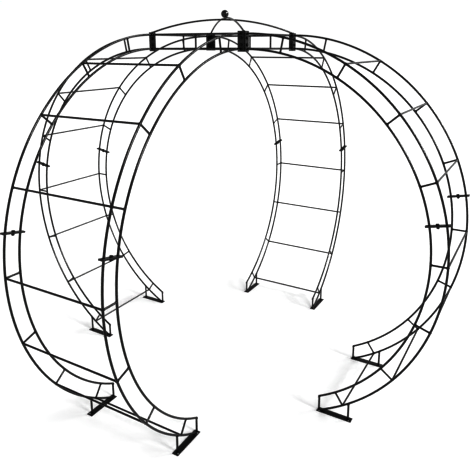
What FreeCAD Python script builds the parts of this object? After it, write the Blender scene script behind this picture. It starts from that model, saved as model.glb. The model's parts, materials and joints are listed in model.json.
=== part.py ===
import FreeCAD, Part
import os
import re

import Sketcher

# A cross-vaulted garden rose arch of welded round steel rod. Four arched legs
# meet in a square ring under a ball finial. Each leg is a pair of ladder ribs
# joined by rungs, and comes apart at a bolted splice half way down and at the
# corner brackets of the ring.
#
# Frame: +Z up, origin on the ground at the centre of the plan. A leg is drawn
# along +X ("out" is the distance from the centre line, "side" is Y) and then
# turned about Z into its four places. Millimetres and degrees.

SIZES = {
    # ribs: two concentric arcs of rod in one upright plane
    "outer_radius": 1370.0,
    "truss_depth": 100.0,
    "arc_centre_out": 397.0,
    "arc_centre_height": 1230.0,
    "rib_half_gap": 372.0,
    "rail_diameter": 14.0,
    "rung_diameter": 12.0,
    # angles at the arc's centre, up from the horizontal
    "splice_angle": 11.4,
    "station_pitch": 18.8,
    "station_offset": 10.9,
    "rail_low_angle": -65.5,
    # splice: a flat bar across the end of each rib section
    "bar_length": 146.0,
    "bar_width": 30.0,
    "bar_thickness": 5.0,
    # feet
    "post_out": 994.0,
    "strut_spacing": 214.0,
    "plate_length": 250.0,
    "plate_width": 45.0,
    "plate_thickness": 3.0,
    "plate_lip": 10.0,
    "anchor_inset": 17.0,
    "anchor_offset": 13.0,
    "anchor_diameter": 11.0,
    # corner brackets and the rib end plates bolted to them
    "bracket_width": 50.0,
    "bracket_height": 134.0,
    "bracket_thickness": 5.0,
    "bracket_overlap": 17.0,
    "bracket_bolt_gap": 44.0,
    # M10 fasteners
    "bolt_diameter": 10.0,
    "bolt_hole": 11.0,
    "bolt_length": 25.0,
    "head_radius": 9.815,
    "head_height": 6.4,
    "nut_height": 8.0,
    "washer_diameter": 20.0,
    "washer_bore": 10.5,
    "washer_thickness": 2.0,
    # crown rods and finial
    "crown_diameter": 12.0,
    "crown_reach": 545.0,
    "crown_end_lift": 13.0,
    "crown_rise": 111.0,
    "stud_diameter": 8.0,
    "stud_length": 26.0,
    "ball_diameter": 56.0,
    "ball_lift": 29.5,
}

DERIVED = {
    "inner_radius": "outer_radius - truss_depth",
    "mid_radius": "outer_radius - truss_depth / 2",
    "crown_height": "arc_centre_height + outer_radius",
    "bracket_face": "rib_half_gap + bracket_width / 2",
    "bracket_inside": "bracket_face - bracket_thickness",
    "bracket_base": "crown_height - truss_depth - bracket_overlap",
    "ring_reach": "bracket_inside - rail_diameter / 2",
    "lower_bolt_height": "bracket_height / 2 - bracket_bolt_gap / 2",
    "upper_bolt_height": "bracket_height / 2 + bracket_bolt_gap / 2",
    "strut_out": "post_out + strut_spacing",
    "crown_end_height": "crown_height + crown_end_lift",
    "crossing_height": "crown_end_height + crown_rise",
}

LEGS = {"east": 0, "north": 90, "west": 180, "south": 270}
CORNERS = {"northeast": 0, "northwest": 90, "southwest": 180, "southeast": 270}
RIBS = {"left": 1, "right": -1}
UPPER_STATIONS = range(4)
ALL_STATIONS = range(8)
RUNG_STATIONS = range(1, 8)
GROUND_BLOCK = 3000.0

doc = FreeCAD.newDocument("rose_arch")
nodes = {}


def make_sheet():
    """One cell per driving size, each with its name as alias."""
    sheet = doc.addObject("Spreadsheet::Sheet", "sizes")
    for row, (name, size) in enumerate(SIZES.items(), start=1):
        sheet.set(f"A{row}", name)
        sheet.set(f"B{row}", str(size))
        sheet.setAlias(f"B{row}", name)
    doc.recompute()
    return sheet


def bound(formula):
    """Writes a formula of size names as an expression on the sheet's cells."""
    def cell(match):
        word = match.group(0)
        if word in DERIVED:
            return f"({bound(DERIVED[word])})"
        return f"sizes.{word}" if word in SIZES else word
    return re.sub(r"[a-z_]+", cell, formula)


def make(kind, name, place=None, **sizes):
    """Adds an object with its sizes and its placement bound to the sheet."""
    thing = doc.addObject(kind, name)
    for size, formula in sizes.items():
        thing.setExpression(size, bound(formula))
    if place:
        thing.setExpression("Placement", bound(place))
    return thing


def at(x, y, z, axis=(0, 0, 1), turn="0"):
    """A placement at (x, y, z), turned about an axis."""
    return f"placement(vector({x}; {y}; {z}); rotation(vector{axis}; {turn}))".replace(",", ";")


def on_arc(angle, reach, side, lift="0", axis=(0, 0, 1), turn="0"):
    """A placement in the arc's own frame: X runs out along the radius at
    `angle`, Y is sideways and Z follows the arc upwards."""
    centre = at("arc_centre_out", "0", "arc_centre_height", (0, -1, 0), angle)
    return centre + " * " + at(reach, side, lift, axis, turn)


def rib_side(rib):
    return f"{RIBS[rib]} * rib_half_gap"


def station_angle(station):
    """Stations run down the rib, four on each side of the splice."""
    if station in UPPER_STATIONS:
        return f"splice_angle + station_offset + {3 - station} * station_pitch"
    return f"splice_angle - station_offset - {station - 4} * station_pitch"


def cut(name, base, tool):
    result = doc.addObject("Part::Cut", name)
    result.Base = base
    result.Tool = tool
    return result


def group(name, pieces, turn=0):
    """Gathers separate solids, turned together about the centre line."""
    result = doc.addObject("Part::Compound", name)
    result.Links = pieces
    result.Placement.Rotation = FreeCAD.Rotation(FreeCAD.Vector(0, 0, 1), turn)
    return result


def add_node(name, thing):
    """Marks an object as a finished sub-part and gives it its label."""
    thing.Label = name
    nodes[name] = thing


# --- flat plates, drawn as sketches and padded --------------------------------

def add_outline(sketch, corners):
    """Closed outline of level and upright sides through (x, y) formulas. The
    first corner is the origin, and no size in it is negative."""
    points = [FreeCAD.Vector(*(sheet.evalExpression(bound(size)) for size in corner), 0)
              for corner in corners]
    count = len(points)
    for index, point in enumerate(points):
        sketch.addGeometry(Part.LineSegment(point, points[(index + 1) % count]))
    for index, point in enumerate(points):
        following = (index + 1) % count
        direction = "Horizontal" if point.y == points[following].y else "Vertical"
        sketch.addConstraint(Sketcher.Constraint("Coincident", index, 2, following, 1))
        sketch.addConstraint(Sketcher.Constraint(direction, index))
    sketch.addConstraint(Sketcher.Constraint("Coincident", 0, 1, -1, 1))
    for index in range(1, count):
        for axis, kind in enumerate(("DistanceX", "DistanceY")):
            moved = points[index][axis] != points[index - 1][axis]
            if moved and points[index][axis]:
                add_distance(sketch, kind, index, 1, corners[index][axis])


def add_distance(sketch, kind, geometry, point, formula):
    """Holds one point at a distance from the origin that the sheet gives."""
    size = sheet.evalExpression(bound(formula))
    row = sketch.addConstraint(Sketcher.Constraint(kind, -1, 1, geometry, point, size))
    sketch.setExpression(f"Constraints[{row}]", bound(formula))


def add_hole(sketch, x, y, diameter):
    size = sheet.evalExpression(bound(diameter))
    circle = Part.Circle(FreeCAD.Vector(1, 1, 0), FreeCAD.Vector(0, 0, 1), size / 2)
    geometry = sketch.addGeometry(circle)
    row = sketch.addConstraint(Sketcher.Constraint("Diameter", geometry, size))
    sketch.setExpression(f"Constraints[{row}]", bound(diameter))
    add_distance(sketch, "DistanceX", geometry, 3, x)
    add_distance(sketch, "DistanceY", geometry, 3, y)


def plate(name, corners, holes, hole_diameter, thickness, place):
    """A flat plate with round holes, one corner at its own origin."""
    body = make("PartDesign::Body", name, place)
    sketch = body.newObject("Sketcher::SketchObject", name + "_outline")
    planes = body.Origin.OriginFeatures
    floor = next(plane for plane in planes if plane.Role == "XY_Plane")
    sketch.AttachmentSupport = [(floor, "")]
    sketch.MapMode = "FlatFace"
    add_outline(sketch, corners)
    for x, y in holes:
        add_hole(sketch, x, y, hole_diameter)
    pad = body.newObject("PartDesign::Pad", name + "_pad")
    pad.Profile = sketch
    pad.setExpression("Length", bound(thickness))
    return body


def rectangle(length, width):
    return [("0", "0"), (length, "0"), (length, width), ("0", width)]


# --- ribs ----------------------------------------------------------------------

def rail_arc(name, radius, rib, start, sweep):
    place = on_arc(start, "0", rib_side(rib), axis=(1, 0, 0), turn="90")
    return make("Part::Torus", name, place,
                Radius1=radius, Radius2="rail_diameter / 2", Angle3=sweep)


def splice_bar(name, rib, lift):
    """Lies along the radius, across both rails, on one side of the splice."""
    start = "mid_radius - bar_length / 2"
    place = on_arc("splice_angle", start, f"{rib_side(rib)} - bar_width / 2", lift)
    return plate(name, rectangle("bar_length", "bar_width"),
                 [("bar_length / 2", "bar_width / 2")], "bolt_hole", "bar_thickness", place)


def end_plate(name, rib):
    """Closes a rib against its corner bracket, standing across the leg."""
    place = at("bracket_face", f"{rib_side(rib)} - bracket_width / 2", "bracket_base")
    # Turned so that the sketch's X runs sideways and its Y runs up.
    place += " * " + at("0", "0", "0", (1, 1, 1), "120")
    holes = [("bracket_width / 2", "lower_bolt_height"), ("bracket_width / 2", "upper_bolt_height")]
    return plate(name, rectangle("bracket_width", "bracket_height"),
                 holes, "bolt_hole", "bracket_thickness", place)


def base_plate(name, rib):
    """Foot plate under one rib. Its anchor holes are set off to the outside
    of the leg, clear of the uprights."""
    place = at("post_out - plate_lip", f"{rib_side(rib)} - plate_width / 2", "0")
    across = f"plate_width / 2 + {RIBS[rib]} * anchor_offset"
    holes = [("anchor_inset", across), ("plate_length - anchor_inset", across)]
    return plate(name, rectangle("plate_length", "plate_width"),
                 holes, "anchor_diameter", "plate_thickness", place)


def upright(name, out, rib, top):
    """Round bar standing on a foot plate, up to a formula for its height."""
    place = at(out, rib_side(rib), "plate_thickness")
    return make("Part::Cylinder", name, place,
                Radius="rail_diameter / 2", Height=f"{top} - plate_thickness")


def arc_height(radius, out):
    """Height of the lower half of an arc above the ground."""
    return f"arc_centre_height - sqrt({radius} ^ 2 - ({out} - arc_centre_out) ^ 2)"


def ground_block():
    """Everything below the top of the foot plates, for trimming."""
    place = at(f"-{GROUND_BLOCK / 2}", f"-{GROUND_BLOCK / 2}", f"plate_thickness - {GROUND_BLOCK}")
    block = make("Part::Box", "ground_block", place)
    block.Length = block.Width = block.Height = GROUND_BLOCK
    return block


def inside_block():
    """Everything nearer the centre line than the back of the posts."""
    place = at(f"post_out - rail_diameter / 2 - {GROUND_BLOCK}", f"-{GROUND_BLOCK / 2}", "0")
    block = make("Part::Box", "inside_block", place)
    block.Length = block.Width = GROUND_BLOCK
    block.setExpression("Height", bound("arc_centre_height / 2"))
    return block


def make_rails(bars, plates, blocks):
    """The four rail sections of each rib, trimmed to what they are welded to."""
    rails = {}
    for rib in RIBS:
        for place, radius in (("outer", "outer_radius"), ("inner", "inner_radius")):
            name = f"{rib}_{place}"
            upper = rail_arc(f"{name}_upper_arc", radius, rib, "splice_angle", "90 - splice_angle")
            ends = group(f"{name}_upper_ends", [bars[rib, "upper"], plates[rib]])
            rails[rib, "upper", place] = cut(f"{name}_upper_rail", upper, ends)
            lower = rail_arc(f"{name}_lower_arc", radius, rib,
                             "rail_low_angle", "splice_angle - rail_low_angle")
            ends = group(f"{name}_lower_ends", [bars[rib, "lower"], blocks[place]])
            rails[rib, "lower", place] = cut(f"{name}_lower_rail", lower, ends)
    return rails


def coped_bars(name, bars, rails, place):
    """One upright per rib, coped under the rail that it carries."""
    return [cut(f"{rib}_{name}", bars[rib], rails[rib, "lower", place]) for rib in RIBS]


def make_rungs(rails):
    """Rods across the leg, coped on the outer rails."""
    bars = []
    for station in RUNG_STATIONS:
        place = on_arc(station_angle(station), "outer_radius", "-rib_half_gap",
                       axis=(1, 0, 0), turn="-90")
        bars.append(make("Part::Cylinder", f"rung_{station}_bar", place,
                         Radius="rung_diameter / 2", Height="2 * rib_half_gap"))
    outer = [rail for key, rail in rails.items() if key[2] == "outer"]
    return cut("rungs", group("rung_bars", bars), group("rung_ends", outer))


def make_spacers(rails, rungs):
    """Radial rods between the two rails of a rib, coped on both."""
    bars = []
    for rib in RIBS:
        for station in ALL_STATIONS:
            place = on_arc(station_angle(station), "inner_radius", rib_side(rib),
                           axis=(0, 1, 0), turn="90")
            bars.append(make("Part::Cylinder", f"{rib}_spacer_{station}_bar", place,
                             Radius="rung_diameter / 2", Height="truss_depth"))
    return cut("spacers", group("spacer_bars", bars),
               group("spacer_ends", [*rails.values(), rungs]))


def make_leg_pieces():
    """Every piece of one leg, drawn along +X, under its sub-part's name."""
    bars = {}
    for rib in RIBS:
        bars[rib, "upper"] = splice_bar(f"{rib}_upper_bar", rib, "0")
        bars[rib, "lower"] = splice_bar(f"{rib}_lower_bar", rib, "-bar_thickness")
    plates = {rib: end_plate(f"{rib}_end_plate", rib) for rib in RIBS}
    post_top = arc_height("inner_radius", "post_out")
    strut_top = arc_height("outer_radius", "strut_out")
    posts = {rib: upright(f"{rib}_post_bar", "post_out", rib, post_top) for rib in RIBS}
    struts = {rib: upright(f"{rib}_strut_bar", "strut_out", rib, strut_top) for rib in RIBS}
    blocks = {
        "outer": group("outer_trim", [ground_block(), *posts.values()]),
        "inner": inside_block(),
    }
    rails = make_rails(bars, plates, blocks)
    rungs = make_rungs(rails)
    pieces = {
        f"{section}_{place}_rails": [rails[rib, section, place] for rib in RIBS]
        for section in ("upper", "lower") for place in ("outer", "inner")
    }
    pieces["rungs"] = [rungs]
    pieces["spacers"] = [make_spacers(rails, rungs)]
    pieces["splice_bars"] = list(bars.values())
    pieces["end_plates"] = list(plates.values())
    pieces["base_plates"] = [base_plate(f"{rib}_base_plate", rib) for rib in RIBS]
    pieces["foot_posts"] = coped_bars("post", posts, rails, "inner")
    pieces["foot_struts"] = coped_bars("strut", struts, rails, "outer")
    return pieces


def make_legs():
    pieces = make_leg_pieces()
    for leg, turn in LEGS.items():
        for name, solids in pieces.items():
            add_node(f"{leg}_{name}", group(f"{leg}_{name}", solids, turn))


def around(name, pieces):
    """The same pieces at all four legs, as one sub-part."""
    turned = [group(f"{leg}_{name}", pieces, turn) for leg, turn in LEGS.items()]
    add_node(name, group(name, turned))


# --- bolted joints ---------------------------------------------------------------

def joint_places():
    """The bolted joints of one leg: Z runs from the nut to the head, and Z=0 is
    where the two flats meet."""
    places = []
    for rib in RIBS:
        places.append(on_arc("splice_angle", "mid_radius", rib_side(rib)))
        for height in ("lower_bolt_height", "upper_bolt_height"):
            places.append(at("bracket_face", rib_side(rib), f"bracket_base + {height}",
                             (0, 1, 0), "90"))
    return places


def hex_prism(name, height, lift):
    prism = make("Part::Prism", name, at("0", "0", lift), Circumradius="head_radius", Height=height)
    prism.Polygon = 6
    return prism


def round_bar(name, diameter, height, lift="0"):
    return make("Part::Cylinder", name, at("0", "0", lift),
                Radius=f"{diameter} / 2", Height=height)


def make_bolt():
    """Hexagon head on the washer, shank down through the joint."""
    bolt = doc.addObject("Part::Fuse", "bolt")
    bolt.Base = hex_prism("bolt_head", "head_height", "washer_thickness + bar_thickness")
    bolt.Tool = round_bar("bolt_shank", "bolt_diameter", "bolt_length",
                          "washer_thickness + bar_thickness - bolt_length")
    return bolt


def make_nut():
    lift = "-bar_thickness - washer_thickness - nut_height"
    return cut("nut", hex_prism("nut_blank", "nut_height", lift),
               round_bar("nut_bore", "bolt_diameter", "nut_height", lift))


def make_washer(name, lift):
    return cut(name, round_bar(f"{name}_disc", "washer_diameter", "washer_thickness", lift),
               round_bar(f"{name}_bore", "washer_bore", "washer_thickness", lift))


def at_joints(name, pieces):
    """Copies of the same pieces at each bolted joint of all four legs."""
    copies = []
    for number, place in enumerate(joint_places()):
        copy = make("Part::Compound", f"{name}_{number}", place)
        copy.Links = pieces
        copies.append(copy)
    around(name, copies)


def make_fasteners():
    at_joints("hex_bolts", [make_bolt()])
    at_joints("hex_nuts", [make_nut()])
    at_joints("washers", [make_washer("head_washer", "bar_thickness"),
                          make_washer("nut_washer", "-bar_thickness - washer_thickness")])


# --- ring and corner brackets ------------------------------------------------------

def bracket_holes(rib):
    """Bolt holes where one rib of the leg along +X meets its bracket."""
    holes = []
    for number, height in enumerate(("lower_bolt_height", "upper_bolt_height")):
        place = at("bracket_inside", rib_side(rib), f"bracket_base + {height}", (0, 1, 0), "90")
        holes.append(make("Part::Cylinder", f"{rib}_hole_{number}", place,
                          Radius="bolt_hole / 2", Height="bracket_thickness"))
    return group(f"{rib}_bracket_holes", holes)


def make_brackets():
    """Angle irons with their corners outwards, one between each two legs."""
    outline = [("0", "0"), ("bracket_width", "0"), ("bracket_width", "bracket_thickness"),
               ("bracket_thickness", "bracket_thickness"), ("bracket_thickness", "bracket_width"),
               ("0", "bracket_width")]
    place = at("bracket_face", "bracket_face", "bracket_base", turn="180")
    angle = plate("bracket_angle", outline, [], "bolt_hole", "bracket_height", place)
    next_leg = group("next_leg_holes", [bracket_holes("right")], 90)
    bracket = cut("bracket", angle, group("bracket_holes", [bracket_holes("left"), next_leg]))
    for corner, turn in CORNERS.items():
        add_node(f"{corner}_bracket", group(f"{corner}_bracket", [bracket], turn))


def ring_rod(name, height, corner):
    """One side of the ring, mitred at both ends, inside two brackets."""
    place = at("ring_reach", "-bracket_inside", height, (1, 0, 0), "-90")
    bar = make("Part::Cylinder", f"{name}_bar", place,
               Radius="rail_diameter / 2", Height="2 * bracket_inside")
    rod = doc.addObject("Part::Common", name)
    rod.Base = bar
    rod.Tool = corner
    return rod


def make_ring():
    """Two square rings of rod, held apart by a spacer on each side."""
    quarter = make("Part::Cylinder", "quarter", at("0", "0", "bracket_base", turn="-45"),
                   Radius="2 * bracket_face", Height="bracket_height")
    quarter.Angle = 90
    upper = ring_rod("upper_ring_rod", "crown_height", quarter)
    lower = ring_rod("lower_ring_rod", "crown_height - truss_depth", quarter)
    place = at("ring_reach", "0", "crown_height - truss_depth")
    spacer = make("Part::Cylinder", "ring_spacer_bar", place,
                  Radius="rung_diameter / 2", Height="truss_depth")
    around("upper_ring_rods", [upper])
    around("lower_ring_rods", [lower])
    around("ring_spacers", [cut("ring_spacer", spacer, group("ring_spacer_ends", [upper, lower]))])


# --- crown and finial ---------------------------------------------------------------

def crown_rod(name, rise, turn):
    """A shallow arc from bracket to bracket across a diagonal of the ring."""
    radius = f"(crown_reach ^ 2 + ({rise}) ^ 2) / (2 * ({rise}))"
    half_sweep = f"asin(crown_reach / ({radius}))"
    place = at("0", "0", f"crown_end_height + {rise} - {radius}", turn=turn)
    place += " * " + at("0", "0", "0", (0, -1, 0), f"90 deg - {half_sweep}")
    place += " * " + at("0", "0", "0", (1, 0, 0), "90")
    rod = make("Part::Torus", name, place,
               Radius1=radius, Radius2="crown_diameter / 2", Angle3=f"2 * {half_sweep}")
    add_node(name, rod)
    return rod


def make_finial(rod):
    """A ball on a stud, screwed down until it sits over the rod."""
    bar = round_bar("stud_bar", "stud_diameter", "stud_length", "crossing_height")
    stud = cut("finial_stud", bar, rod)
    blank = make("Part::Sphere", "ball_blank", at("0", "0", "crossing_height + ball_lift"),
                 Radius="ball_diameter / 2")
    add_node("finial_stud", stud)
    add_node("finial_ball", cut("finial_ball", blank, group("ball_seat", [stud, rod])))


def check_document():
    """Stops if any object failed or any sub-part isn't a sound shape."""
    for thing in doc.Objects:
        if {"Invalid", "Error"} & set(thing.State):
            raise RuntimeError(f"{thing.Name} failed: {thing.State}")
    for name, thing in nodes.items():
        shape = thing.Shape
        if shape.isNull() or not shape.isValid() or not shape.Solids:
            raise RuntimeError(f"{name} isn't a valid solid")


def write_nodes():
    os.makedirs("parts", exist_ok=True)
    for name, thing in nodes.items():
        thing.Shape.exportStep(f"parts/{name}.step")
        print(f"{name}: {len(thing.Shape.Solids)} solids, {thing.Shape.Volume:.0f} mm3")


sheet = make_sheet()
make_legs()
make_brackets()
make_ring()
top_rod = crown_rod("upper_crown_rod", "crown_rise", "45")
crown_rod("lower_crown_rod", "crown_rise - crown_diameter", "135")
make_finial(top_rod)
make_fasteners()
doc.recompute()
check_document()
write_nodes()
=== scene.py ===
"""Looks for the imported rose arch: gloss paint, weld beads, eased plate edges and threaded fasteners.

The rods keep their CAD meshes. Plates and fasteners are replaced with detailed meshes on the
same planes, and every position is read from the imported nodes. Metres, +Z up.
"""

import json
import math

import bmesh
import bpy
import numpy as np
from mathutils import Matrix, Vector


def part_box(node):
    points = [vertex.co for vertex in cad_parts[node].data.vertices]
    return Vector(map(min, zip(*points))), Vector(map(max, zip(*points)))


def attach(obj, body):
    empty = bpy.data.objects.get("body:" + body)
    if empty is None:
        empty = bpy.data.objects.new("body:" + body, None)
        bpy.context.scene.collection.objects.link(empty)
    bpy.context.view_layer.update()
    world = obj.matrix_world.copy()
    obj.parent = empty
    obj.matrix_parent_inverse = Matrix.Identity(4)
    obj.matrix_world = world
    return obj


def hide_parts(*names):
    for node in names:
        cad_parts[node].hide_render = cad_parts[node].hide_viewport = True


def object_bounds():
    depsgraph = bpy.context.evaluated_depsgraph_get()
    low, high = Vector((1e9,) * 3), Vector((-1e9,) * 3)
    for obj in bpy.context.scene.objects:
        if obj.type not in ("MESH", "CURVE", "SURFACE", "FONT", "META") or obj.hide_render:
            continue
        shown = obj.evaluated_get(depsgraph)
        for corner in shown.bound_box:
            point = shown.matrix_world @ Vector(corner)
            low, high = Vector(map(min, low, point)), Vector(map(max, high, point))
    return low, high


X, Y, Z = Vector((1, 0, 0)), Vector((0, 1, 0)), Vector((0, 0, 1))
LEGS = {"east": 0, "north": 90, "west": 180, "south": 270}
CORNERS = {"northeast": 0, "northwest": 90, "southwest": 180, "southeast": 270}

RAIL_RADIUS = 0.007
ROD_RADIUS = 0.006
EDGE_EASE = 0.0009

BEAD_RADIUS = 0.0021
FOOT_BEAD_RADIUS = 0.0015
RIPPLE_LENGTH = 0.0017
RIPPLE_DEPTH = 0.13
BEAD_WANDER = 0.07
WANDER_TURNS = 9.1
WANDER_SHIFT = 40
BEAD_STAND_OFF = 0.3
SEAM_RADIUS = 0.0016
SEAM_INSET = 0.0015
SEAM_DEPTH = 0.001
SEAM_POINTS = 12
CROWN_BEAD_RADIUS = 0.0028
CROSSING_BEAD_RADIUS = 0.0024
CROSSING_RADIUS = 0.0046

BOLT_RADIUS = 0.005
BOLT_LENGTH = 0.025
THREAD_LENGTH = 0.014
THREAD_PITCH = 0.0015
THREAD_DEPTH = 0.0009
THREAD_STEPS = 6
SHANK_SIDES = 30
LEAD_IN = 0.0010
LEAD_IN_SLOPE = 0.8
HEX_RADIUS = 0.009815
HEAD_HEIGHT = 0.0064
HEAD_DISH = 0.0002
NUT_HEIGHT = 0.008
COUNTERSINK = 0.0007
WASHER_RADIUS = 0.010
WASHER_THICKNESS = 0.002
WASHER_CLEARANCE = 0.00025
WASHER_EASE = 0.0003
GRIP = 0.010

FLOOR_RADIUS = 90
FLOOR_GAP = 0.0005
LAMP_DISTANCE = 12

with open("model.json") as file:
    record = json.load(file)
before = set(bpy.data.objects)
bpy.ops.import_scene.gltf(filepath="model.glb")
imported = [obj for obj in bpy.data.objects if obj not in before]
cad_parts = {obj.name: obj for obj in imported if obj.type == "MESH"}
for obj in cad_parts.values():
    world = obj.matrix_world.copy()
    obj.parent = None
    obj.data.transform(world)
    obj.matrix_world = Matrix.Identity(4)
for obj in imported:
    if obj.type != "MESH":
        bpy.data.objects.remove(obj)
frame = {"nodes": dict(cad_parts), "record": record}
cad_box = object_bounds()


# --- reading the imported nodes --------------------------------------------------

def solids(node):
    """Corner points of each separate solid of a CAD node, one array per solid."""
    bm = bmesh.new()
    bm.from_mesh(frame["nodes"][node].data)
    bmesh.ops.remove_doubles(bm, verts=bm.verts, dist=1e-6)
    seen = set()
    found = []
    for start in bm.verts:
        if start in seen:
            continue
        seen.add(start)
        edge_of_search = [start]
        points = []
        while edge_of_search:
            vert = edge_of_search.pop()
            points.append(vert.co[:])
            for edge in vert.link_edges:
                other = edge.other_vert(vert)
                if other not in seen:
                    seen.add(other)
                    edge_of_search.append(other)
        found.append(np.array(points))
    bm.free()
    return found


def rod_ends(points):
    """Middle of each end of a straight solid, along its longest direction."""
    middle = (points.min(0) + points.max(0)) / 2
    direction = np.linalg.svd(points - points.mean(0))[2][0]
    along = (points - middle) @ direction
    return Vector(middle + direction * along.min()), Vector(middle + direction * along.max())


def circle_fit(points):
    """Centre and radius of the circle through points in the XZ plane."""
    across = np.c_[2 * points[:, 0], 2 * points[:, 2], np.ones(len(points))]
    x, z, rest = np.linalg.lstsq(across, points[:, 0] ** 2 + points[:, 2] ** 2, rcond=None)[0]
    return Vector((x, 0, z)), math.sqrt(rest + x * x + z * z)


# --- weld beads ---------------------------------------------------------------

def ring_path(centre, normal, radius, stretch=1.0, along=None, count=44):
    """Points round a rod's end on a flat face, drawn out along one direction."""
    first = (along or normal.orthogonal()).normalized()
    second = normal.cross(first).normalized()
    turns = [2 * math.pi * step / count for step in range(count)]
    return [centre + first * radius * stretch * math.cos(turn) + second * radius * math.sin(turn)
            for turn in turns]


def saddle_path(centre, direction, rail_way, radius, rail_radius, count=44):
    """Points round a rod where it is coped on a rail. `centre` is on the rail's
    axis, and `direction` runs from there into the rod."""
    across = (rail_way - direction * rail_way.dot(direction)).normalized()
    side = direction.cross(across)
    lean = radius * across.dot(rail_way)
    slope = direction.dot(rail_way)
    square = 1 - slope * slope
    path = []
    for step in range(count):
        turn = 2 * math.pi * step / count
        half = slope * lean * math.cos(turn)
        rest = radius ** 2 - (lean * math.cos(turn)) ** 2 - rail_radius ** 2
        height = (half + math.sqrt(max(half * half - square * rest, 0.0))) / square
        path.append(centre + across * radius * math.cos(turn) + side * radius * math.sin(turn)
                    + direction * height)
    return path


def add_bead(bm, path, size=BEAD_RADIUS, closed=True, corners=8):
    """A round bead along a path, with the ripples of its weld pool."""
    middle = sum(path, Vector()) / len(path)
    count = len(path)
    rings = []
    travelled = 0.0
    for index, point in enumerate(path):
        after = path[(index + 1) % count] if closed else path[min(index + 1, count - 1)]
        before = path[index - 1] if closed or index else point
        way = (after - before).normalized()
        out = point - middle
        out = (out - way * out.dot(way)).normalized() if out.length > 1e-9 else way.orthogonal()
        side = way.cross(out)
        phase = WANDER_TURNS * index / count * math.tau + WANDER_SHIFT * point.x
        wander = BEAD_WANDER * math.sin(phase)
        ripple = RIPPLE_DEPTH * math.cos(math.tau * travelled / RIPPLE_LENGTH)
        swell = size * (1 + ripple + wander)
        ring = []
        for corner in range(corners):
            turn = math.tau * corner / corners
            ring.append(bm.verts.new(point + (out * math.cos(turn) + side * math.sin(turn)) * swell))
        rings.append(ring)
        travelled += (after - point).length
    last = count if closed else count - 1
    for index in range(last):
        ring, following = rings[index], rings[(index + 1) % count]
        for corner in range(corners):
            bm.faces.new((ring[corner], following[corner], following[(corner + 1) % corners],
                          ring[(corner + 1) % corners]))
    if not closed:
        bm.faces.new(rings[0])
        bm.faces.new(reversed(rings[-1]))


BEAD_ROD = ROD_RADIUS + BEAD_STAND_OFF * BEAD_RADIUS
BEAD_RAIL = RAIL_RADIUS + BEAD_STAND_OFF * BEAD_RADIUS
COPE = math.sqrt(RAIL_RADIUS ** 2 - ROD_RADIUS ** 2)


def add_rung_beads(bm, arc):
    for points in solids("east_rungs"):
        ends = rod_ends(points)
        for end, other in (ends, ends[::-1]):
            inwards = (other - end).normalized()
            centre = end - inwards * COPE
            rail_way = (Vector((centre.x, 0, centre.z)) - arc).cross(Y).normalized()
            add_bead(bm, saddle_path(centre, inwards, rail_way, BEAD_ROD, BEAD_RAIL))


def add_spacer_beads(bm):
    for points in solids("east_spacers"):
        ends = rod_ends(points)
        for end, other in (ends, ends[::-1]):
            inwards = (other - end).normalized()
            centre = end - inwards * COPE
            add_bead(bm, saddle_path(centre, inwards, inwards.cross(Y), BEAD_ROD, BEAD_RAIL))


def add_splice_beads(bm, arc, radii):
    """Round each rail where it ends on the outer face of its splice bar."""
    middles = [sum(rod_ends(points), Vector()) / 2 for points in solids("east_splice_bars")]
    seam = sum(middles, Vector()) / len(middles)
    radial = (seam - arc).normalized()
    way = radial.cross(Y)
    for middle in middles:
        outwards = way if (middle - seam).dot(way) > 0 else -way
        for radius in radii:
            spot = arc + radial * radius + Y * middle.y + outwards * GRIP / 2
            add_bead(bm, ring_path(spot, way, BEAD_RAIL))


def add_foot_beads(bm, arc, inner, outer):
    """Round the foot uprights, top and bottom, and round the outer rail's toe."""
    plate_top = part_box("east_base_plates")[1].z
    foot_radius = RAIL_RADIUS + BEAD_STAND_OFF * FOOT_BEAD_RADIUS
    for node, radius in (("east_foot_posts", inner), ("east_foot_struts", outer)):
        for points in solids(node):
            spot = Vector((points.min(0) + points.max(0)) / 2)
            spot.z = plate_top
            add_bead(bm, ring_path(spot, Z, foot_radius), FOOT_BEAD_RADIUS)
            top = Vector((spot.x, spot.y, arc.z - math.sqrt(radius ** 2 - (spot.x - arc.x) ** 2)))
            rail_way = (top - arc - Y * top.y).cross(Y).normalized()
            add_bead(bm, saddle_path(top, -Z, rail_way, BEAD_RAIL, BEAD_RAIL))
            if node == "east_foot_posts":
                reach = arc.x + math.sqrt(outer ** 2 - (arc.z - plate_top) ** 2)
                toe = Vector((reach, spot.y, plate_top))
                steepness = (toe.x - arc.x) / outer
                add_bead(bm, ring_path(toe, Z, BEAD_RAIL, 1 / steepness, X))


def add_end_plate_beads(bm, arc, radii):
    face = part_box("east_end_plates")[1].x
    for points in solids("east_end_plates"):
        side = (points.min(0)[1] + points.max(0)[1]) / 2
        for radius in radii:
            add_bead(bm, ring_path(Vector((face, side, arc.z + radius)), X, BEAD_RAIL))


def add_ring_beads(bm):
    """The ring spacer's two ends on one side, and the rods' seams in one corner."""
    spacer = max(solids("ring_spacers"), key=lambda points: points[:, 0].mean())
    ends = rod_ends(spacer)
    for end, other in (ends, ends[::-1]):
        inwards = (other - end).normalized()
        add_bead(bm, saddle_path(end - inwards * COPE, inwards, Y, BEAD_ROD, BEAD_RAIL))
    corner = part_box("northeast_bracket")
    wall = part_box("upper_ring_rods")[1].x
    for node in ("upper_ring_rods", "lower_ring_rods"):
        low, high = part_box(node)
        for height in (low.z + SEAM_INSET, high.z - SEAM_INSET):
            seam = [Vector((wall - SEAM_DEPTH, corner[0].y + step * SEAM_RADIUS, height))
                    for step in range(1, SEAM_POINTS + 1)]
            add_bead(bm, seam, SEAM_RADIUS, closed=False)
            seam = [Vector((point.y, point.x, point.z)) for point in seam]
            add_bead(bm, seam, SEAM_RADIUS, closed=False)


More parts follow.
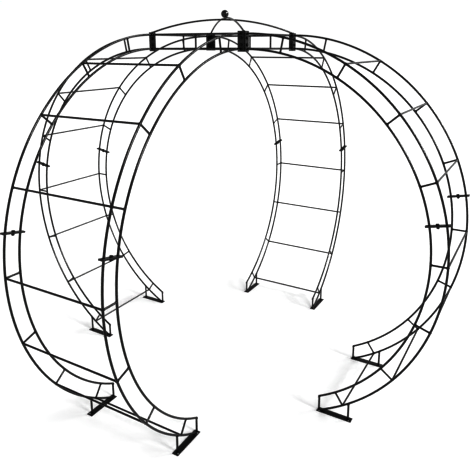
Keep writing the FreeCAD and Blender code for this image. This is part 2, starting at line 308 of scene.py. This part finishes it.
def finish_mesh(bm, name, smooth=True):
    bmesh.ops.recalc_face_normals(bm, faces=bm.faces)
    mesh = bpy.data.meshes.new(name)
    bm.to_mesh(mesh)
    bm.free()
    for polygon in mesh.polygons:
        polygon.use_smooth = smooth
    return mesh


def add_object(name, mesh, material, turn=0):
    mesh.materials.clear()
    mesh.materials.append(material)
    thing = bpy.data.objects.new(name, mesh)
    bpy.context.scene.collection.objects.link(thing)
    thing.matrix_world = Matrix.Rotation(math.radians(turn), 4, "Z")
    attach(thing, "root")
    return thing


def make_welds(material):
    """One leg's beads, drawn on the east leg and turned to all four."""
    rungs = np.array([(points.min(0) + points.max(0)) / 2 for points in solids("east_rungs")])
    arc, outer = circle_fit(rungs)
    inner = outer - (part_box("upper_ring_rods")[1].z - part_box("lower_ring_rods")[1].z)
    bm = bmesh.new()
    add_rung_beads(bm, arc)
    add_spacer_beads(bm)
    add_splice_beads(bm, arc, (inner, outer))
    add_foot_beads(bm, arc, inner, outer)
    add_end_plate_beads(bm, arc, (inner, outer))
    add_ring_beads(bm)
    mesh = finish_mesh(bm, "weld_beads")
    for leg, turn in LEGS.items():
        add_object(f"{leg}_welds", mesh, material, turn)


def make_crown_welds(material):
    """Round the ends of the crown rods, and where one crosses over the other."""
    bm = bmesh.new()
    for node, flip in (("upper_crown_rod", 1), ("lower_crown_rod", -1)):
        low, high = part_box(node)
        for end in (-1, 1):
            way = Vector((end, end * flip, 0)).normalized()
            tip = Vector((high.x * end, high.y * end * flip, low.z + ROD_RADIUS))
            add_bead(bm, ring_path(tip - way * 1.2 * ROD_RADIUS, way, ROD_RADIUS), CROWN_BEAD_RADIUS)
    contact = Vector((0, 0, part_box("upper_crown_rod")[1].z - 2 * ROD_RADIUS))
    add_bead(bm, ring_path(contact, Z, CROSSING_RADIUS), CROSSING_BEAD_RADIUS)
    add_object("crown_welds", finish_mesh(bm, "crown_weld_beads"), material)


# --- plates with eased edges -----------------------------------------------------

def ease_edges(name, node, material):
    """A copy of a node of flat plates with its sheared edges rounded over."""
    bm = bmesh.new()
    bm.from_mesh(frame["nodes"][node].data)
    bmesh.ops.remove_doubles(bm, verts=bm.verts, dist=1e-6)
    bmesh.ops.dissolve_limit(bm, angle_limit=math.radians(1), verts=bm.verts, edges=bm.edges)
    bmesh.ops.recalc_face_normals(bm, faces=bm.faces)
    sharp = [edge for edge in bm.edges if len(edge.link_faces) == 2
             and edge.calc_face_angle() > math.radians(50)]
    bmesh.ops.bevel(bm, geom=sharp, offset=EDGE_EASE, segments=2, profile=0.6, affect="EDGES",
                    clamp_overlap=True)
    mesh = finish_mesh(bm, name)
    thing = add_object(name, mesh, material)
    mesh.set_sharp_from_angle(angle=math.radians(40))
    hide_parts(node)


def make_plates(material):
    for leg in LEGS:
        for part in ("splice_bars", "end_plates", "base_plates"):
            ease_edges(f"{leg}_{part}_eased", f"{leg}_{part}", material)
    for corner in CORNERS:
        ease_edges(f"{corner}_bracket_eased", f"{corner}_bracket", material)


# --- fasteners ------------------------------------------------------------------

def skin(bm, rings):
    """Joins rings of points into a tube, each ring as long as the next."""
    made = [[bm.verts.new(point) for point in ring] for ring in rings]
    for ring, following in zip(made, made[1:]):
        for index in range(len(ring)):
            after = (index + 1) % len(ring)
            bm.faces.new((ring[index], ring[after], following[after], following[index]))
    return made


def circle(radius, height, count=60):
    turns = [math.tau * i / count for i in range(count)]
    return [Vector((radius * math.cos(turn), radius * math.sin(turn), height)) for turn in turns]


def hexagon(height, chamfer_from=None, fall=0.0, count=60):
    """Outline of a hexagon. With a chamfer, its corners drop by the cone's fall."""
    points = []
    for i in range(count):
        turn = math.tau * i / count
        reach = HEX_RADIUS * math.cos(math.pi / 6) / math.cos((turn % (math.pi / 3)) - math.pi / 6)
        drop = max(0.0, reach - chamfer_from) * fall if chamfer_from else 0.0
        points.append(Vector((reach * math.cos(turn), reach * math.sin(turn), height + drop)))
    return points


FLAT_RADIUS = 0.95 * HEX_RADIUS * math.cos(math.pi / 6)
CONE_FALL = math.tan(math.radians(30))


def bolt_mesh():
    """Z=0 is the bearing face: the chamfered head is above it, the thread below."""
    bm = bmesh.new()
    head = [circle(BOLT_RADIUS, 0), hexagon(0), hexagon(HEAD_HEIGHT, FLAT_RADIUS, -CONE_FALL),
            circle(FLAT_RADIUS, HEAD_HEIGHT), circle(0.6 * FLAT_RADIUS, HEAD_HEIGHT - HEAD_DISH)]
    bm.faces.new(skin(bm, head)[-1])
    steps = int(THREAD_LENGTH / THREAD_PITCH * THREAD_STEPS)
    thread_top = THREAD_LENGTH - BOLT_LENGTH
    rings = [circle(BOLT_RADIUS, 0, SHANK_SIDES), circle(BOLT_RADIUS, thread_top, SHANK_SIDES)]
    for step in range(steps + 1):
        height = thread_top - THREAD_LENGTH * step / steps
        left = BOLT_LENGTH + height
        ring = []
        for point in circle(1.0, height, SHANK_SIDES):
            phase = (height / THREAD_PITCH + math.atan2(point.y, point.x) / math.tau) % 1
            depth = THREAD_DEPTH * abs(2 * phase - 1)
            radius = BOLT_RADIUS - depth - max(0.0, LEAD_IN - left) * LEAD_IN_SLOPE
            ring.append(Vector((point.x * radius, point.y * radius, height)))
        rings.append(ring)
    bm.faces.new(skin(bm, rings)[-1])
    return bm


def nut_mesh():
    """Hangs under the nut washer, chamfered on both faces and countersunk."""
    bm = bmesh.new()
    top = -GRIP - 2 * WASHER_THICKNESS
    base = top - NUT_HEIGHT
    mouth = BOLT_RADIUS + COUNTERSINK
    rings = [circle(BOLT_RADIUS, top), circle(mouth, top), circle(FLAT_RADIUS, top),
             hexagon(top, FLAT_RADIUS, -CONE_FALL), hexagon(base, FLAT_RADIUS, CONE_FALL),
             circle(FLAT_RADIUS, base), circle(mouth, base),
             circle(BOLT_RADIUS, base + COUNTERSINK), circle(BOLT_RADIUS, top)]
    skin(bm, rings)
    return bm


def washer_mesh():
    """The two washers of one joint, one under the head and one over the nut."""
    bm = bmesh.new()
    ease = WASHER_EASE
    bore = BOLT_RADIUS + WASHER_CLEARANCE
    for top in (0.0, -GRIP - WASHER_THICKNESS):
        base = top - WASHER_THICKNESS
        rings = [circle(bore, top - ease), circle(bore + ease, top),
                 circle(WASHER_RADIUS - ease, top), circle(WASHER_RADIUS, top - ease),
                 circle(WASHER_RADIUS, base + ease), circle(WASHER_RADIUS - ease, base),
                 circle(bore + ease, base), circle(bore, base + ease), circle(bore, top - ease)]
        skin(bm, rings)
    return bm


def joint_frames():
    """Where each bolt sits: Z towards its head, origin on its bearing face."""
    frames = []
    for points in solids("hex_bolts"):
        tip, head = rod_ends(points)
        middle = (tip + head) / 2
        way = (head - tip).normalized()
        offsets = points - np.array(middle)
        along = offsets @ np.array(way)
        reach = np.linalg.norm(offsets - np.outer(along, way), axis=1)
        if along[reach.argmax()] < 0:
            tip, head, way = head, tip, -way
        origin = tip + way * BOLT_LENGTH
        corner = way.orthogonal().normalized()
        turned = Matrix((corner, way.cross(corner), way)).transposed().to_4x4()
        frames.append(Matrix.Translation(origin) @ turned)
    return frames


def place_copies(name, bm, frames, node, material, twist):
    """The same small piece at every joint, each turned a little differently."""
    small = finish_mesh(bm, f"{name}_one")
    everything = bmesh.new()
    for number, place in enumerate(frames):
        spin = Matrix.Rotation(math.radians(twist * number), 4, "Z")
        copy = small.copy()
        copy.transform(place @ spin)
        everything.from_mesh(copy)
        bpy.data.meshes.remove(copy)
    bpy.data.meshes.remove(small)
    mesh = finish_mesh(everything, name)
    thing = add_object(name, mesh, material)
    mesh.set_sharp_from_angle(angle=math.radians(28))
    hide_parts(node)


def make_fasteners(material):
    frames = joint_frames()
    place_copies("bolts_threaded", bolt_mesh(), frames, "hex_bolts", material, 23)
    place_copies("nuts_chamfered", nut_mesh(), frames, "hex_nuts", material, 41)
    place_copies("washers_eased", washer_mesh(), frames, "washers", material, 0)


# --- materials --------------------------------------------------------------------

def add_noise(nodes, links, coordinates, scale, detail=3.0):
    noise = nodes.new("ShaderNodeTexNoise")
    noise.inputs["Scale"].default_value = scale
    noise.inputs["Detail"].default_value = detail
    links.new(coordinates.outputs["Object"], noise.inputs["Vector"])
    return noise.outputs["Fac"]


def add_range(nodes, links, source, low, high):
    spread = nodes.new("ShaderNodeMapRange")
    spread.inputs["From Min"].default_value = 0.3
    spread.inputs["From Max"].default_value = 0.7
    spread.inputs["To Min"].default_value = low
    spread.inputs["To Max"].default_value = high
    links.new(source, spread.inputs["Value"])
    return spread.outputs["Result"]


def paint(name, dark, light, smooth, rough, specular, peel, peel_scale):
    """Black stove paint: uneven colour and gloss over an orange-peel surface."""
    material = bpy.data.materials.new(name)
    material.use_nodes = True
    nodes, links = material.node_tree.nodes, material.node_tree.links
    shader = nodes["Principled BSDF"]
    shader.inputs["Specular IOR Level"].default_value = specular
    coordinates = nodes.new("ShaderNodeTexCoord")
    patches = add_noise(nodes, links, coordinates, 14.0)
    tint = nodes.new("ShaderNodeMix")
    tint.data_type = "RGBA"
    tint.inputs["A"].default_value = (*dark, 1)
    tint.inputs["B"].default_value = (*light, 1)
    links.new(add_range(nodes, links, patches, 0, 1), tint.inputs["Factor"])
    links.new(tint.outputs["Result"], shader.inputs["Base Color"])
    smudges = add_noise(nodes, links, coordinates, 55.0)
    links.new(add_range(nodes, links, smudges, smooth, rough), shader.inputs["Roughness"])
    bump = nodes.new("ShaderNodeBump")
    bump.inputs["Strength"].default_value = peel
    bump.inputs["Distance"].default_value = 0.0004
    links.new(add_noise(nodes, links, coordinates, peel_scale, 2.0), bump.inputs["Height"])
    links.new(bump.outputs["Normal"], shader.inputs["Normal"])
    return material


def make_materials():
    return {
        "black_rod": paint("rod_gloss_black", (0.002, 0.002, 0.002), (0.005, 0.005, 0.0055),
                           smooth=0.14, rough=0.24, specular=0.60, peel=0.22, peel_scale=420),
        "black_plate": paint("plate_satin_black", (0.005, 0.005, 0.005), (0.015, 0.015, 0.016),
                             smooth=0.34, rough=0.50, specular=0.60, peel=0.35, peel_scale=300),
        "black_hardware": paint("hardware_black", (0.004, 0.004, 0.004), (0.010, 0.010, 0.010),
                                smooth=0.30, rough=0.45, specular=0.40, peel=0.20, peel_scale=600),
        "black_ball": paint("ball_gloss_black", (0.002, 0.002, 0.002), (0.004, 0.004, 0.0045),
                            smooth=0.08, rough=0.16, specular=1.00, peel=0.15, peel_scale=260),
    }


def paint_nodes(materials):
    slots = {row["node"]: row["material_slot"] for row in frame["record"]["subparts"]}
    for name, node in frame["nodes"].items():
        node.data.materials.clear()
        node.data.materials.append(materials[slots[name]])


# --- stage ------------------------------------------------------------------------

def make_floor():
    bm = bmesh.new()
    bmesh.ops.create_circle(bm, cap_ends=True, segments=96, radius=FLOOR_RADIUS)
    mesh = finish_mesh(bm, "floor")
    material = bpy.data.materials.new("floor_pale")
    material.use_nodes = True
    shader = material.node_tree.nodes["Principled BSDF"]
    shader.inputs["Base Color"].default_value = (0.88, 0.88, 0.88, 1)
    shader.inputs["Roughness"].default_value = 0.9
    shader.inputs["Specular IOR Level"].default_value = 0.0
    mesh.materials.append(material)
    floor = bpy.data.objects.new("floor", mesh)
    floor.location.z = cad_box[0][2] - FLOOR_GAP
    bpy.context.scene.collection.objects.link(floor)


def add_sun(name, azimuth, elevation, spread, strength):
    """A far, soft-edged lamp, seen from the object at an azimuth and elevation."""
    lamp = bpy.data.lights.new(name, "SUN")
    lamp.energy = strength
    lamp.angle = math.radians(spread)
    thing = bpy.data.objects.new(name, lamp)
    turn, lift = math.radians(azimuth), math.radians(elevation)
    towards = Vector((math.cos(turn) * math.cos(lift), math.sin(turn) * math.cos(lift), math.sin(lift)))
    thing.location = towards * LAMP_DISTANCE
    thing.rotation_euler = towards.to_track_quat("Z", "Y").to_euler()
    bpy.context.scene.collection.objects.link(thing)


def make_sky():
    """White at the horizon, where it is the backdrop, and dimmer overhead."""
    world = bpy.data.worlds.new("studio")
    world.use_nodes = True
    nodes, links = world.node_tree.nodes, world.node_tree.links
    backdrop = nodes["Background"]
    backdrop.inputs["Color"].default_value = (1, 1, 1, 1)
    direction = nodes.new("ShaderNodeTexCoord")
    height = nodes.new("ShaderNodeSeparateXYZ")
    links.new(direction.outputs["Generated"], height.inputs["Vector"])
    fall = nodes.new("ShaderNodeMapRange")
    fall.inputs["From Min"].default_value = 0.35
    fall.inputs["From Max"].default_value = 0.60
    fall.inputs["To Min"].default_value = 1.02
    fall.inputs["To Max"].default_value = 0.50
    links.new(height.outputs["Z"], fall.inputs["Value"])
    links.new(fall.outputs["Result"], backdrop.inputs["Strength"])
    bpy.context.scene.world = world


def make_lights():
    make_sky()
    add_sun("key", 262, 28, 14, 2.1)
    add_sun("side", 291, 29, 18, 0.9)
    add_sun("edge", 318, 31, 20, 1.3)


def make_camera():
    """The view from 4.1 m out from the middle and 2.5 m up, between the west and south legs."""
    camera = bpy.data.cameras.new("camera")
    camera.sensor_width = 36
    camera.lens = 40.972
    camera.shift_x = -0.01714
    camera.shift_y = -0.14157
    camera.clip_end = 400
    thing = bpy.data.objects.new("camera", camera)
    thing.location = (-3.5246, -2.1890, 2.5197)
    thing.rotation_euler = (math.radians(90 - 12.892), 0, math.radians(29.966 - 90))
    bpy.context.scene.collection.objects.link(thing)
    bpy.context.scene.camera = thing


materials = make_materials()
paint_nodes(materials)
make_welds(materials["black_rod"])
make_crown_welds(materials["black_rod"])
make_plates(materials["black_plate"])
make_fasteners(materials["black_hardware"])
make_floor()
make_lights()
make_camera()
bpy.context.scene.view_settings.view_transform = "Standard"
bpy.context.scene.view_settings.gamma = 0.5
